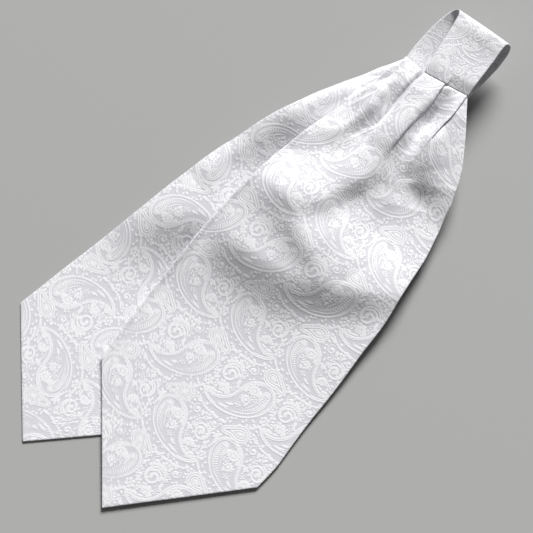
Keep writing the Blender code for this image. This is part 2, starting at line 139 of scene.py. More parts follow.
# Soft folds: each is a line of points, with its height there (a trough is below 0) and how far it reaches
# to the left and to the right of the line's direction. A line's slant is measured over a step along it.
FOLD_COLUMNS = ("x", "y", "height", "left_reach", "right_reach")
SLANT_STEP = 1.0
UPPER_FOLDS = (
    # front slope of the bulges, where the blade comes down to the flat cloth
    ((-64.0, -6.0, 0.0, 60.0, 18.0), (-46.0, -4.0, 1.0, 80.0, 20.0), (-36.0, -1.0, 5.2, 100.0, 20.0),
     (-20.0, 0.0, 9.0, 115.0, 20.0), (0.0, 1.0, 9.8, 105.0, 21.0), (20.0, 5.0, 10.2, 76.0, 21.0),
     (40.0, 13.5, 9.4, 70.0, 18.5), (60.0, 23.0, 7.5, 64.0, 15.5), (72.0, 30.5, 5.3, 56.0, 14.5),
     (84.0, 38.0, 2.4, 50.0, 12.0), (98.0, 46.0, 0.0, 40.0, 12.0)),
    # left flank of the large bulge
    ((-48.0, 42.0, 0.0, 60.0, 12.0), (-30.0, 42.0, 4.2, 80.0, 15.0), (-12.0, 39.5, 7.0, 95.0, 16.0),
     (2.0, 33.5, 7.2, 90.0, 15.0), (16.0, 25.0, 5.8, 80.0, 13.0), (30.0, 18.0, 2.6, 60.0, 11.0),
     (46.0, 14.0, 0.0, 40.0, 11.0)),
    # ridge that runs on from the centre pleat, steep on its right
    ((14.0, 142.0, 0.0, 5.0, 12.0), (14.5, 118.0, 1.0, 6.0, 18.0), (16.5, 102.0, 1.2, 8.0, 24.0),
     (15.5, 89.0, 2.6, 8.0, 28.0), (12.0, 77.0, 3.4, 8.5, 28.0), (7.0, 65.0, 3.0, 8.5, 28.0),
     (4.0, 54.0, 3.0, 9.0, 26.0), (-2.5, 43.0, 2.0, 9.0, 24.0), (-12.0, 32.0, 0.0, 8.0, 20.0)),
    # hollow along the front of that ridge
    ((26.0, 95.0, 0.0, 30.0, 8.0), (25.5, 86.0, -0.8, 32.0, 8.0), (24.0, 77.0, -1.9, 34.0, 8.0),
     (20.5, 68.0, -2.8, 36.0, 8.5), (16.5, 58.0, -3.0, 36.0, 9.0), (12.0, 46.0, -2.4, 34.0, 9.0),
     (5.0, 34.0, -1.0, 30.0, 9.0), (-3.0, 25.0, 0.0, 28.0, 8.0)),
    # hollow below the right pleat
    ((20.0, 166.0, 0.0, 3.5, 4.0), (22.5, 154.0, -4.4, 6.0, 4.5), (24.0, 139.0, -8.2, 7.0, 6.0),
     (26.5, 126.0, -6.8, 8.0, 7.0), (33.0, 109.0, -5.2, 9.0, 14.0), (42.0, 96.0, -2.6, 10.0, 18.0),
     (54.0, 87.0, 0.0, 10.0, 20.0)),
    # bulge right of the hollow, steep towards it
    ((31.0, 168.0, 0.0, 3.0, 9.0), (32.0, 156.0, 1.4, 3.5, 9.0), (32.0, 142.0, 2.4, 6.0, 8.0),
     (32.0, 127.0, 3.2, 12.0, 8.5), (36.5, 112.0, 4.8, 15.0, 11.0), (45.0, 103.5, 3.6, 15.0, 11.0),
     (56.0, 99.0, 1.2, 13.0, 10.0), (72.0, 96.0, 0.0, 13.0, 9.0)),
    # small swelling that crosses the hollow and the bulge
    ((10.0, 145.0, 0.0, 9.0, 6.0), (19.0, 138.0, 0.6, 9.0, 7.0), (27.0, 131.0, 1.9, 11.0, 8.0),
     (32.5, 126.0, 2.8, 12.0, 9.0), (38.0, 119.0, 1.8, 12.0, 9.0), (45.0, 111.0, 0.0, 10.0, 8.0)),
    # ridge left of the centre pleat
    ((-11.0, 152.0, 0.0, 4.5, 14.0), (-12.0, 143.0, 1.4, 5.0, 18.0), (-12.5, 134.0, 4.0, 6.0, 24.0),
     (-12.5, 120.0, 5.2, 7.0, 28.0), (-15.0, 109.0, 5.0, 7.5, 28.0), (-20.5, 97.0, 4.8, 9.5, 26.0),
     (-28.5, 85.0, 3.6, 11.0, 22.0), (-36.0, 68.0, 0.0, 11.0, 18.0)),
)
# Fine creases and edges
UPPER_CREASES = (
    # crease along the centre pleat's left edge
    ((1.2, 168.2, -1.2, 0.8, 1.6), (0.3, 152.0, -1.4, 0.9, 1.8), (0.3, 138.0, -1.5, 1.0, 2.0),
     (0.6, 125.0, -1.3, 1.2, 2.2), (-0.2, 113.0, -0.9, 1.5, 2.4), (-1.4, 100.0, 0.0, 2.0, 2.6)),
    # hump to the left of that crease
    ((-1.8, 169.0, 1.2, 3.0, 9.0), (-2.6, 160.0, 1.6, 3.2, 11.0), (-3.0, 150.0, 1.6, 3.6, 12.0),
     (-4.4, 141.0, 0.9, 4.4, 12.0), (-7.0, 131.0, 0.0, 6.0, 12.0)),
    # rolled edge over the lower blade
    ((-29.0, 100.0, 0.0, 2.0, 1.2), (-34.0, 82.0, 0.6, 2.0, 1.2), (-38.5, 60.0, 0.8, 2.0, 1.2),
     (-41.5, 35.0, 0.8, 2.0, 1.2), (-44.4, 10.0, 0.8, 2.0, 1.2), (-45.6, -15.0, 0.8, 2.0, 1.2),
     (-45.5, -60.0, 0.6, 2.0, 1.2), (-42.4, -116.0, 0.4, 2.0, 1.2), (-40.4, -180.0, 0.0, 2.0, 1.2)),
    # short crease from the seam's left end
    ((-16.0, 165.0, 0.0, 2.0, 2.5), (-15.4, 157.0, -1.3, 2.0, 3.0), (-14.4, 151.0, -1.0, 2.4, 3.0),
     (-13.6, 143.0, 0.0, 2.4, 3.0)),
    # narrow ridge along the rightmost pleat's edge
    ((34.8, 160.0, 0.0, 7.0, 1.6), (34.8, 152.0, 1.1, 7.0, 1.6), (34.0, 141.0, 1.2, 7.0, 1.8),
     (33.2, 131.0, 0.6, 7.0, 2.0), (33.0, 122.0, 0.0, 7.0, 2.0)),
)

# Lower blade, in its own frame, turned about the middle of its seam. Its seam isn't turned, and the reach
# is how far from the seam the cloth takes up the turn.
LOWER_SEAM = (6.8, 172.6)
LOWER_TURN = math.radians(13.5)
LOWER_SEAM_REACH = 60.0
LOWER_END = dict(left_y=-308.0, right_y=-278.0, tip_u=73.4, tip_y=-361.0)
LOWER_STATIONS = (
    (0.0, -24.6, 14.1, 13.0, 13.0, 36.4, 1.2, 1.2, 1.2, 1.00),
    (-12.0, -27.2, 11.8, 13.0, 13.0, 30.5, 1.2, 1.4, 1.4, 1.00),
    (-21.0, -29.4, 9.4, 13.0, 13.0, 26.0, 2.2, 1.8, 1.5, 1.00),
    (-33.0, -31.5, 5.9, 13.0, 13.0, 18.5, 2.8, 2.2, 1.7, 1.00),
    (-47.0, -34.2, 3.4, 13.0, 13.0, 11.0, 3.4, 2.6, 2.0, 0.95),
    (-64.0, -37.0, 0.6, 12.5, 12.5, 5.0, 3.6, 3.0, 2.2, 0.70),
    (-88.0, -40.0, 0.0, 8.0, 9.0, 1.0, 3.4, 3.4, 2.2, 0.30),
    (-106.0, -43.2, 0.0, 5.0, 5.5, 0.0, 2.6, 3.2, 2.0, 0.10),
    (-126.0, -45.4, 0.0, 2.5, 2.5, 0.0, 2.2, 2.6, 1.6, 0.00),
    (-146.0, -46.8, 0.0, 1.0, 1.0, 0.0, 1.6, 1.9, 1.2, 0.00),
    (-175.0, -46.8, 0.0, 0.0, 0.0, 0.0, 0.9, 1.0, 0.8, 0.00),
    (-200.0, -46.3, 0.0, 0.0, 0.0, 0.0, 0.55, 0.55, 0.55, 0.00),
    (-254.0, -45.5, 0.0, 0.0, 0.0, 0.0, 0.55, 0.55, 0.55, 0.00),
    (-308.0, -43.0, 0.0, 0.0, 0.0, 0.0, 0.55, 0.55, 0.55, 0.00),
    (-362.0, -41.0, 0.0, 0.0, 0.0, 0.0, 0.55, 0.55, 0.55, 0.00),
)
LOWER_SPREADS = (
    (0.0, 7.05, 6.5, 6.5, 18.2, 2.3),
    (-16.0, 6.9, 6.5, 6.5, 15.0, 2.3),
    (-30.0, 7.5, 7.5, 7.5, 12.0, 2.6),
    (-47.0, 9.0, 10.0, 10.0, 12.0, 3.2),
    (-64.0, 12.0, 16.0, 16.0, 14.0, 5.0),
    (-88.0, 12.0, 22.0, 22.0, 16.0, 7.0),
    (-400.0, 12.0, 24.0, 24.0, 16.0, 8.0),
)
LOWER_FOLDS = (
    # front slope of the blade's bulge, which goes on under the upper blade
    ((-112.0, -36.0, 0.0, 60.0, 22.0), (-92.0, -25.0, 4.4, 70.0, 25.0), (-78.0, -14.0, 8.8, 80.0, 28.0),
     (-64.0, -5.0, 10.6, 80.0, 28.0), (-52.0, 2.0, 9.4, 80.0, 25.0), (-38.0, 5.0, 7.0, 80.0, 24.0),
     (-14.0, 8.0, 3.4, 60.0, 24.0), (12.0, 10.0, 1.6, 60.0, 24.0), (46.0, 12.0, 0.0, 60.0, 22.0)),
    # second slope, nearer the neck
    ((-82.0, 66.0, 0.0, 60.0, 28.0), (-66.0, 80.0, 9.0, 110.0, 30.0), (-52.0, 89.0, 10.6, 120.0, 27.0),
     (-42.0, 98.0, 8.0, 110.0, 24.0), (-30.0, 108.0, 3.0, 80.0, 18.0), (-14.0, 116.0, 0.0, 60.0, 18.0)),
    # the blade slopes down under the upper blade's edge
    ((-22.0, 146.0, 0.0, 8.0, 8.0), (-33.0, 127.0, 1.8, 8.0, 9.0), (-41.0, 112.0, 2.2, 9.0, 10.0),
     (-46.0, 100.0, 1.8, 9.0, 10.0), (-50.0, 90.0, 1.4, 9.0, 10.0), (-54.0, 74.0, 0.8, 9.0, 10.0),
     (-60.0, 60.0, 1.4, 9.0, 12.0), (-66.0, 44.0, 2.6, 9.0, 14.0), (-68.0, 30.0, 2.4, 9.0, 14.0),
     (-69.0, 14.0, 0.0, 9.0, 14.0)),
    # small ridge from the seam along the blade's left side
    ((-14.0, 170.0, 0.0, 4.0, 4.0), (-22.0, 158.0, 1.8, 5.0, 4.0), (-27.0, 148.0, 1.2, 5.0, 4.0),
     (-33.0, 136.0, 0.0, 5.0, 5.0)),
)

# Neckband: its middle line and its sides, from the upper seam over the top of the loop to the lower seam
BAND_COLUMNS = ("y", "z", "left", "right")
BAND_STATIONS = (
    (168.2, 20.0, 0.8, 33.4),
    (176.6, 21.6, -0.6, 32.9),
    (187.5, 21.9, -2.3, 32.5),
    (198.3, 22.1, -4.0, 32.1),
    (207.0, 22.9, -5.4, 31.6),
    (211.0, 23.0, -6.4, 31.7),
    (213.2, 21.5, -8.0, 32.6),
    (213.8, 19.2, -10.2, 33.8),
    (212.4, 16.4, -12.6, 34.6),
    (208.0, 14.0, -14.8, 35.0),
    (201.8, 12.0, -16.4, 35.0),
    (194.0, 10.4, -17.6, 34.4),
    (185.0, 9.0, -18.2, 33.4),
    (177.0, 8.2, -18.4, 32.4),
    (167.0, 8.0, -17.6, 31.4),
)
# Its mesh's cell, and the width that its columns are spaced for
BAND_CELL = 0.45
BAND_GRID_WIDTH = 50.0
# Its front end lies on the pleats: how far to each side it looks for the highest of them, over how many
# points that height is averaged, and how far from the seam that height and the seam's shift die away
SEAM_SEARCH = 1.6
SEAM_SMOOTH = 3
SEAM_SETTLE = 9.0
BAND_SLANT_FADE = 34.0
BAND_FOLDS = (
    # shallow ridge across the front strand, near the top of the loop
    ((-4.0, 206.0, 0.0, 8.0, 14.0), (6.0, 207.0, 0.9, 8.0, 13.0), (17.0, 208.0, 1.2, 8.0, 12.0),
     (28.0, 209.0, 0.5, 8.0, 12.0), (36.0, 210.0, 0.0, 8.0, 12.0)),
)

# Paisley figure of the cloth, drawn for this piece: one repeat across and two rows along, the second turned
# over
REPEAT_ACROSS = 44.6
REPEAT_ALONG = 82.0
TURNED_ROW = (17.0, 41.0)
# Its chart: the size of a cell, and a blur that lets a mesh's points carry it
CHART_PITCH = 0.15
CHART_BLUR = 0.28
# Where the flat cloth's zero lies on the chart, and the size of the band's figure beside the blades'
UPPER_FIGURE_AT = (-46.5, 138.5)
LOWER_FIGURE_AT = (20.0, 30.0)
BAND_FIGURE_AT = (4.0, 9.0)
BAND_FIGURE_SCALE = 0.62

# Drawing: the large teardrop's height as a share, and the level that it shrinks to
LARGE_HEIGHT = 0.87
SHRINKS_TO = 13.0
# Points of a curve between two that are given, of a circle, of a leaf's middle line and of a scroll's turn
CURVE_POINTS = 7
CIRCLE_POINTS = 12
LEAF_POINTS = 9
SCROLL_POINTS = 20
# Half width of a leaf's tips
LEAF_TIP = 0.08
# Flower with petals, as shares of its radius: where a petal starts, its length and half width, and the
# core. The petal and the core have a least size too, and the dots have a size of their own.
FAN_PETAL_START = 0.34
FAN_PETAL_LENGTH = 0.62
FAN_PETAL_HALF = 0.12
FAN_PETAL_LEAST = 0.12
FAN_CORE = 0.26
FAN_CORE_LEAST = 0.25
FAN_TIP_DOT = 0.42
FAN_CORE_DOT = 0.4
# Scroll: the share of its radius that it winds in and the power that paces it, and its first half width and
# its dot's radius as shares of its half width
SCROLL_WIND = 0.86
SCROLL_PACE = 0.9
SCROLL_START = 0.35
SCROLL_DOT = 1.35
# Round flower: its lobes' and its core's radius, as shares of its own
FLORET_LOBE = 0.62
FLORET_CORE = 0.42
# Small leaves strewn over the ground
FILLING_LEAVES = 520
FILLING_SEED = 7
FILLING_LENGTH = 3.0
FILLING_HALF_WIDTH = 0.6
FILLING_BOW = 0.5

# Silk: the chart's tones between which its figure is sharpened again, and how far the figure stands up, in
# the mesh and in the bump
FIGURE_STEP = (0.34, 0.62)
FIGURE_RELIEF = 0.06
FIGURE_BUMP = 0.07
GROUND_COLOUR = (0.70, 0.695, 0.73, 1.0)
FIGURE_COLOUR = (0.90, 0.90, 0.925, 1.0)
GROUND_ROUGHNESS = 0.62
FIGURE_ROUGHNESS = 0.42
SHEEN = 0.25
SHEEN_ROUGHNESS = 0.4
# Its grain: noise cells to the millimetre, their detail and height, and the noise that gives the least and
# the full brightness
GRAIN_PER_MM = 1.1
GRAIN_DETAIL = 2.0
GRAIN_BUMP = 0.05
GRAIN_RANGE = (0.3, 0.7)
GRAIN_COLOUR = (0.88, 1.0)

# Sockets of a Mix node: its factor, and its inputs and result for numbers and for colours
MIX_FACTOR = 0
MIX_NUMBERS = (2, 3)
MIX_NUMBER = 0
MIX_COLOURS = (6, 7)
MIX_COLOUR = 2

# How a closed outline is filled, from the outside in. Each band has its outer and inner distance from the
# outline, below 0 inside it, and a tone. HALO is deeper than any outline.
HALO = 30.0
FILLS = dict(
    solid=((0.55, 0.0, 0.0), (0.0, -HALO, 1.0)),
    line=((0.0, -HALO, 1.0),),
    cut=((0.0, -HALO, 0.0),),
    rim=((0.5, 0.0, 0.0), (0.0, -0.75, 1.0), (-0.75, -HALO, 0.0)),
    large=((0.55, 0.0, 0.0), (0.0, -0.95, 1.0), (-0.95, -1.45, 0.0), (-1.45, -2.1, 1.0),
           (-2.1, -HALO, 0.0)),
    leaf=((0.8, 0.0, 0.0), (0.0, -0.7, 1.0), (-0.7, -1.2, 0.0), (-1.2, -HALO, 1.0)),
    drop=((2.7, 2.3, 0.0), (2.3, 1.5, 1.0), (1.5, 0.9, 0.0), (0.9, 0.0, 1.0), (0.0, -0.7, 0.0),
          (-0.7, -1.5, 1.0), (-1.5, -2.1, 0.0), (-2.1, -HALO, 1.0)),
    lobe=((0.7, 0.0, 0.0), (0.0, -0.8, 1.0), (-0.8, -1.3, 0.1), (-1.3, -HALO, 1.0)),
)

# Closed outlines, through given points
OUTLINES = dict(
    large=((8.6, 38.0), (3.2, 35.6), (0.2, 30.0), (0.4, 23.0), (3.4, 15.8), (9.0, 9.4), (16.4, 4.8),
           (25.0, 2.2), (34.0, 2.4), (41.0, 5.8), (44.4, 11.2), (43.4, 14.8), (41.0, 12.2), (37.2, 9.8),
           (33.0, 10.4), (29.2, 12.8), (26.2, 16.4), (24.4, 21.0), (23.0, 27.0), (20.2, 33.0), (15.0, 37.0)),
    leaf=((6.4, 34.0), (3.7, 30.0), (3.4, 24.0), (5.6, 17.6), (10.2, 11.6), (16.6, 7.6), (24.0, 5.4),
          (30.6, 5.1), (24.0, 7.6), (17.6, 11.0), (13.0, 15.6), (10.6, 21.0), (10.2, 27.4), (9.4, 32.4)),
    drop=((16.4, -4.4), (11.8, -3.6), (7.0, -4.2), (3.4, -3.2), (2.2, -0.4), (4.0, 2.2), (7.4, 2.2),
          (11.0, -0.2)),
)

# Camera: its place and what it looks at in the layout, and its lens
CAMERA_AT = (339.3, -426.6, 1434.9)
CAMERA_LOOKS_AT = (0.0, 0.0, 0.0)
CAMERA_LENS = 162.1
CAMERA_SENSOR = 36.0

# Light: its strength, the angle across its face, and its direction, in degrees from +X towards +Y and above
# the table, and the even light of the world
LIGHT_STRENGTH = 5.4
LIGHT_SPREAD = 25.0
LIGHT_TURN = 111.0
LIGHT_RISE = 32.0
WORLD_STRENGTH = 0.13
WORLD_COLOUR = (1.0, 1.0, 1.0, 1.0)

# Floor, in metres, just under the cloth
FLOOR_SIZE = 6.0
FLOOR_Z = -0.0002
FLOOR_COLOUR = (0.38, 0.38, 0.375, 1.0)
FLOOR_ROUGHNESS = 0.7


def column(rows, names, name):
    """One named column of a table, as an array."""
    return np.array([row[names.index(name)] for row in rows])


def smooth_table(at, positions, values):
    """Read a table between its rows along a smooth curve that never overshoots a row."""
    order = np.argsort(positions)
    knots = np.asarray(positions, float)[order]
    heights = np.asarray(values, float)[order]
    step = np.diff(knots)
    slope = np.diff(heights) / step
    tangent = np.zeros_like(heights)
    tangent[0] = slope[0]
    tangent[-1] = slope[-1]
    before, after = slope[:-1], slope[1:]
    same_way = before * after > 0
    weight_before = step[1:] + 2 * step[:-1]
    weight_after = 2 * step[1:] + step[:-1]
    weighted = np.where(same_way, weight_after * after + weight_before * before, 1.0)
    harmonic_mean = (weight_before + weight_after) * before * after / weighted
    tangent[1:-1] = np.where(same_way, harmonic_mean, 0.0)
    at = np.clip(at, knots[0], knots[-1])
    i = np.clip(np.searchsorted(knots, at) - 1, 0, len(step) - 1)
    t = (at - knots[i]) / step[i]
    rest = 1 - t
    from_left = heights[i] * (1 + 2 * t) * rest ** 2 + step[i] * tangent[i] * t * rest ** 2
    from_right = heights[i + 1] * (3 - 2 * t) * t ** 2 - step[i] * tangent[i + 1] * rest * t ** 2
    return from_left + from_right


def ease(t):
    """A smooth step from 0 to 1."""
    t = np.clip(t, 0.0, 1.0)
    return t * t * (3 - 2 * t)


def ramp_area(t):
    """Integral of a ramp that rises from 0 to 1 between -0.5 and 0.5."""
    inside = np.clip(t + 0.5, 0.0, 1.0)
    return 0.5 * inside * inside + np.maximum(t - 0.5, 0.0)


def fold_height(x, y, folds):
    """Sum of the soft ridges and troughs of a table, at points of the layout."""
    total = np.zeros_like(x)
    for line in folds:
        line_x, line_y, heights, left_reaches, right_reaches = (
            column(line, FOLD_COLUMNS, name) for name in FOLD_COLUMNS)
        span = np.array([line_x[-1] - line_x[0], line_y[-1] - line_y[0]])
        along_x, along_y = span / np.hypot(*span)
        line_along = (line_x - line_x[0]) * along_x + (line_y - line_y[0]) * along_y
        line_side = (line_x - line_x[0]) * along_y - (line_y - line_y[0]) * along_x
        along = (x - line_x[0]) * along_x + (y - line_y[0]) * along_y
        side = (x - line_x[0]) * along_y - (y - line_y[0]) * along_x
        bow = smooth_table(along, line_along, line_side)
        slant = (smooth_table(along + SLANT_STEP, line_along, line_side) - bow) / SLANT_STEP
        distance = (side - bow) / np.hypot(1, slant)
        left = smooth_table(along, line_along, left_reaches)
        right = smooth_table(along, line_along, right_reaches)
        height = smooth_table(along, line_along, heights)
        total += height * np.exp(-(distance / np.where(distance > 0, right, left)) ** 2)
    return total


def blade_surface(u, y, stations, spreads):
    """Place points of the flat cloth (u across, y along) in the pleated, resting blade."""

    def station(name):
        return smooth_table(y, column(stations, BLADE_COLUMNS, "y"), column(stations, BLADE_COLUMNS, name))

    def spread(name):
        return smooth_table(y, column(spreads, SPREAD_COLUMNS, "y"), column(spreads, SPREAD_COLUMNS, name))

    bend = spread("bend")
    layer = station("layer")
    x = station("left") + u
    lift = PLEATS_LIFTED * layer
    for number, (line, faces_left) in enumerate(zip(FOLD_LINES, FOLD_FACES_LEFT), start=1):
        width = spread(f"spread{number}")
        first = line - width if faces_left else line
        last = first + width
        taken = ramp_area((u - first) / bend) - ramp_area((u - last) / bend)
        x -= station(f"take{number}") / width * bend * taken
        climb = ease((u - first) / bend + 0.5) + ease((u - last) / bend + 0.5)
        lift = lift + LAYER * layer * (climb if faces_left else -climb)
    across = u / BLADE_WIDTH
    left_share = (1 - across) * (1 - 2 * across)
    middle_share = 4 * across * (1 - across)
    right_share = across * (2 * across - 1)
    base = station("z_left") * left_share + station("z_mid") * middle_share
    base = base + station("z_right") * right_share
    return x, base + lift


def cloth_width(from_seam):
    """The cloth's width at a distance from the seam: narrower at the neck end, fullest before the point."""
    from_seams = column(CLOTH_WIDTHS, WIDTH_COLUMNS, "from_seam")
    return smooth_table(from_seam, from_seams, column(CLOTH_WIDTHS, WIDTH_COLUMNS, "width"))


def edged_steps(length, cell):
    """Positions from 0 to 1 along a length, a cell apart, with closer rows that round both ends."""
    edge = np.array(EDGE_STEPS)
    inner = np.linspace(edge[-1] + cell, length - edge[-1] - cell, int((length - 2 * edge[-1]) / cell) - 1)
    return np.concatenate([edge, inner, length - edge[::-1]]) / length


def distances_along(line):
    """Distance of each point of a line from its first, along the line."""
    return np.concatenate([[0.0], np.cumsum(np.hypot(*np.diff(line, axis=0).T))])


def blade_columns():
    """Positions from 0 to 1 across a blade, closer together where the pleats' edges turn over."""
    steps = edged_steps(BLADE_WIDTH, BLADE_COLUMN_CELL)
    fine = np.linspace(0.0, 1.0, FINE_COLUMNS)
    seam_width = CLOTH_WIDTHS[0][1]
    crowding = 1 + sum(np.exp(-((fine * seam_width - line) / PLEAT_EDGE) ** 2) for line in FOLD_LINES)
    crowded = np.concatenate([[0.0], np.cumsum(0.5 * (crowding[1:] + crowding[:-1]))])
    return np.interp(steps, crowded / crowded[-1], fine)


def blade_grid(seam_y, end):
    """Flat positions of a blade's points, seam to pointed end, and their distances to the nearest edge."""
    corner_y = 0.5 * (end["left_y"] + end["right_y"])
    point = corner_y - end["tip_y"]
    fine = np.linspace(0.0, 1.0, FINE_COLUMNS)
    run = (seam_y - corner_y) * fine + point * fine ** POINT_POWER
    t = np.interp(edged_steps(run[-1], BLADE_CELL) * run[-1], run, fine)[:, None]
    straight_y = seam_y + (corner_y - seam_y) * t
    width = cloth_width(seam_y - straight_y)
    u = blade_columns()[None, :] * width
    left_edge = end["left_y"] + (end["tip_y"] - end["left_y"]) * u / end["tip_u"]
    right_edge = end["right_y"] + (end["tip_y"] - end["right_y"]) * (width - u) / (width - end["tip_u"])
    end_y = np.where(u < end["tip_u"], left_edge, right_edge)
    y = straight_y + (end_y - corner_y) * t ** POINT_POWER
    to_side = np.minimum(u, width - u)
    to_point = (y - end_y) * math.cos(math.radians(POINT_EDGE_SLOPE))
    return u, y, np.minimum(to_side, np.minimum(seam_y - y, to_point))


def unit(vectors):
    """Vectors scaled to a length of 1."""
    return vectors / np.maximum(np.linalg.norm(vectors, axis=-1, keepdims=True), SHORTEST_VECTOR)


def grid_normals(points):
    """Directions square to a grid's surface, at its points."""
    along = np.gradient(points, axis=0)
    across = np.gradient(points, axis=1)
    return unit(np.cross(along, across))


def coarse_lines(count, step):
    """Every step-th line of a grid, with both ends and the lines where the rounded edges start."""
    rim = len(EDGE_STEPS) - 1
    last = count - 1
    inner = list(range(rim, count - rim, step))
    if inner[-1] != last - rim:
        inner.append(last - rim)
    return [0] + inner + [last]


def edge_share(inset):
    """Share of the cloth's thickness at a distance from its edge, which is rounded over."""
    return np.sqrt(np.clip(1 - (1 - np.clip(inset / EDGE_ROUND, 0, 1)) ** 2, 0, 1))


def coarse_back(index, step):
    """Faces of a sheet's back, joined to its face all round, and the grid points of its own vertices."""
    rows, cols = index.shape
    row_lines, col_lines = coarse_lines(rows, step), coarse_lines(cols, step)
    back = {}
    own = []
    for i in row_lines:
        for j in col_lines:
            if i in (0, rows - 1) or j in (0, cols - 1):
                back[i, j] = index[i, j]
            else:
                back[i, j] = index.size + len(own)
                own.append((i, j))

    def edge_run(i0, j0, i1, j1):
        """The back's vertices from one corner of a coarse cell to the next, without the last."""
        if i0 == i1 and i0 in (0, rows - 1):
            return [index[i0, j] for j in range(j0, j1, 1 if j1 > j0 else -1)]
        if j0 == j1 and j0 in (0, cols - 1):
            return [index[i, j0] for i in range(i0, i1, 1 if i1 > i0 else -1)]
        return [back[i0, j0]]

    faces = []
    for i0, i1 in zip(row_lines, row_lines[1:]):
        for j0, j1 in zip(col_lines, col_lines[1:]):
            loop = edge_run(i0, j0, i0, j1) + edge_run(i0, j1, i1, j1)
            faces.append(loop + edge_run(i1, j1, i1, j0) + edge_run(i1, j0, i0, j0))
    return faces, own


def sheet_mesh(name, points, inset, thickness, back_step, figure, cloth_uv):
    """A closed sheet of cloth through a grid of points: a fine face, a coarser back and rounded edges."""
    index = np.arange(inset.size).reshape(inset.shape)
    face_cells = np.stack([index[:-1, :-1], index[1:, :-1], index[1:, 1:], index[:-1, 1:]], axis=-1)
    back_faces, own = coarse_back(index, back_step)
    faces = face_cells.reshape(-1, 4).tolist() + [[int(corner) for corner in face] for face in back_faces]

    half = 0.5 * thickness
    rounded = edge_share(inset)[..., None]
    normals = grid_normals(points)
    relief = figure[..., None] * normals * FIGURE_RELIEF * rounded
    front = points + normals * half * rounded + relief
    back = points - normals * half * rounded
    i, j = np.array(own).T
    vertices = np.vstack([front.reshape(-1, 3), back[i, j]])
    source = np.concatenate([index.reshape(-1), index[i, j]])

    mesh = bpy.data.meshes.new(name)
    placed = (vertices - np.array([ORIGIN[0], ORIGIN[1], 0.0])) * MM
    mesh.from_pydata(placed.tolist(), [], faces)
    mesh.validate()
    tone = figure.reshape(-1)[source]
    if back_step > 1:
        tone[index.size:] = BACK_TONE
    attribute = mesh.attributes.new("figure", "FLOAT", "POINT")
    attribute.data.foreach_set("value", tone.astype(np.float32))
    corner_vertex = np.zeros(len(mesh.loops), int)
    mesh.loops.foreach_get("vertex_index", corner_vertex)
    uv = cloth_uv.reshape(-1, 2)[source][corner_vertex]
    mesh.uv_layers.new(name="cloth").data.foreach_set("uv", uv.astype(np.float32).ravel())
    mesh.shade_smooth()
    return mesh


def add_piece(name, mesh, node, material):
    """A piece of cloth that stands for a CAD node."""
    piece = bpy.data.objects.new(name, mesh)
    bpy.context.scene.collection.objects.link(piece)
    mesh.materials.append(material)
    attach(piece, "root")
    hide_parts(node)
    return piece


def seam_slant(x):
    """How far the seam is shifted from a straight line, at an x of the layout."""
    shifts = column(SEAM_SLANT, SLANT_COLUMNS, "shift")
    return smooth_table(x, column(SEAM_SLANT, SLANT_COLUMNS, "x"), shifts)


def make_upper_blade(material, chart):
    """The blade on top, and the line of points along its seam."""
    u, y, inset = blade_grid(UPPER_SEAM_Y, UPPER_END)
    x, z = blade_surface(u, y, UPPER_STATIONS, UPPER_SPREADS)
    z = z + fold_height(x, y, UPPER_FOLDS + UPPER_CREASES)
    slant = seam_slant(x) * ease(1 + (y - UPPER_SEAM_Y) / SLANT_FADE)
    points = np.stack([x, y + slant, z], axis=-1)
    cloth_uv = np.stack([u, y], axis=-1)
    figure = figure_at(chart, u + UPPER_FIGURE_AT[0], y + UPPER_FIGURE_AT[1])
    mesh = sheet_mesh("upper_blade_cloth", points, inset, BLADE_CLOTH, BACK_STEP, figure, cloth_uv)
    return add_piece("upper_blade_cloth", mesh, "upper_blade", material), points[0]


def make_lower_blade(material, chart):
    """The blade underneath, turned to the left, with its figure the other way round."""
    u, y, inset = blade_grid(0.0, LOWER_END)
    x, z = blade_surface(u, y, LOWER_STATIONS, LOWER_SPREADS)
    cloth_uv = np.stack([u, y], axis=-1)
    y = y + ease(1 + y / LOWER_SEAM_REACH) * x * math.tan(LOWER_TURN)
    sine, cosine = math.sin(LOWER_TURN), math.cos(LOWER_TURN)
    row_x = LOWER_SEAM[0] + x * cosine + y * sine
    row_y = LOWER_SEAM[1] - x * sine + y * cosine
    z = z + fold_height(row_x, row_y, LOWER_FOLDS)
    points = np.stack([row_x, row_y, z], axis=-1)
    figure = figure_at(chart, LOWER_FIGURE_AT[0] - u, LOWER_FIGURE_AT[1] - cloth_uv[..., 1])
    mesh = sheet_mesh("lower_blade_cloth", points, inset, BLADE_CLOTH, BACK_STEP, figure, cloth_uv)
    return add_piece("lower_blade_cloth", mesh, "lower_blade", material)


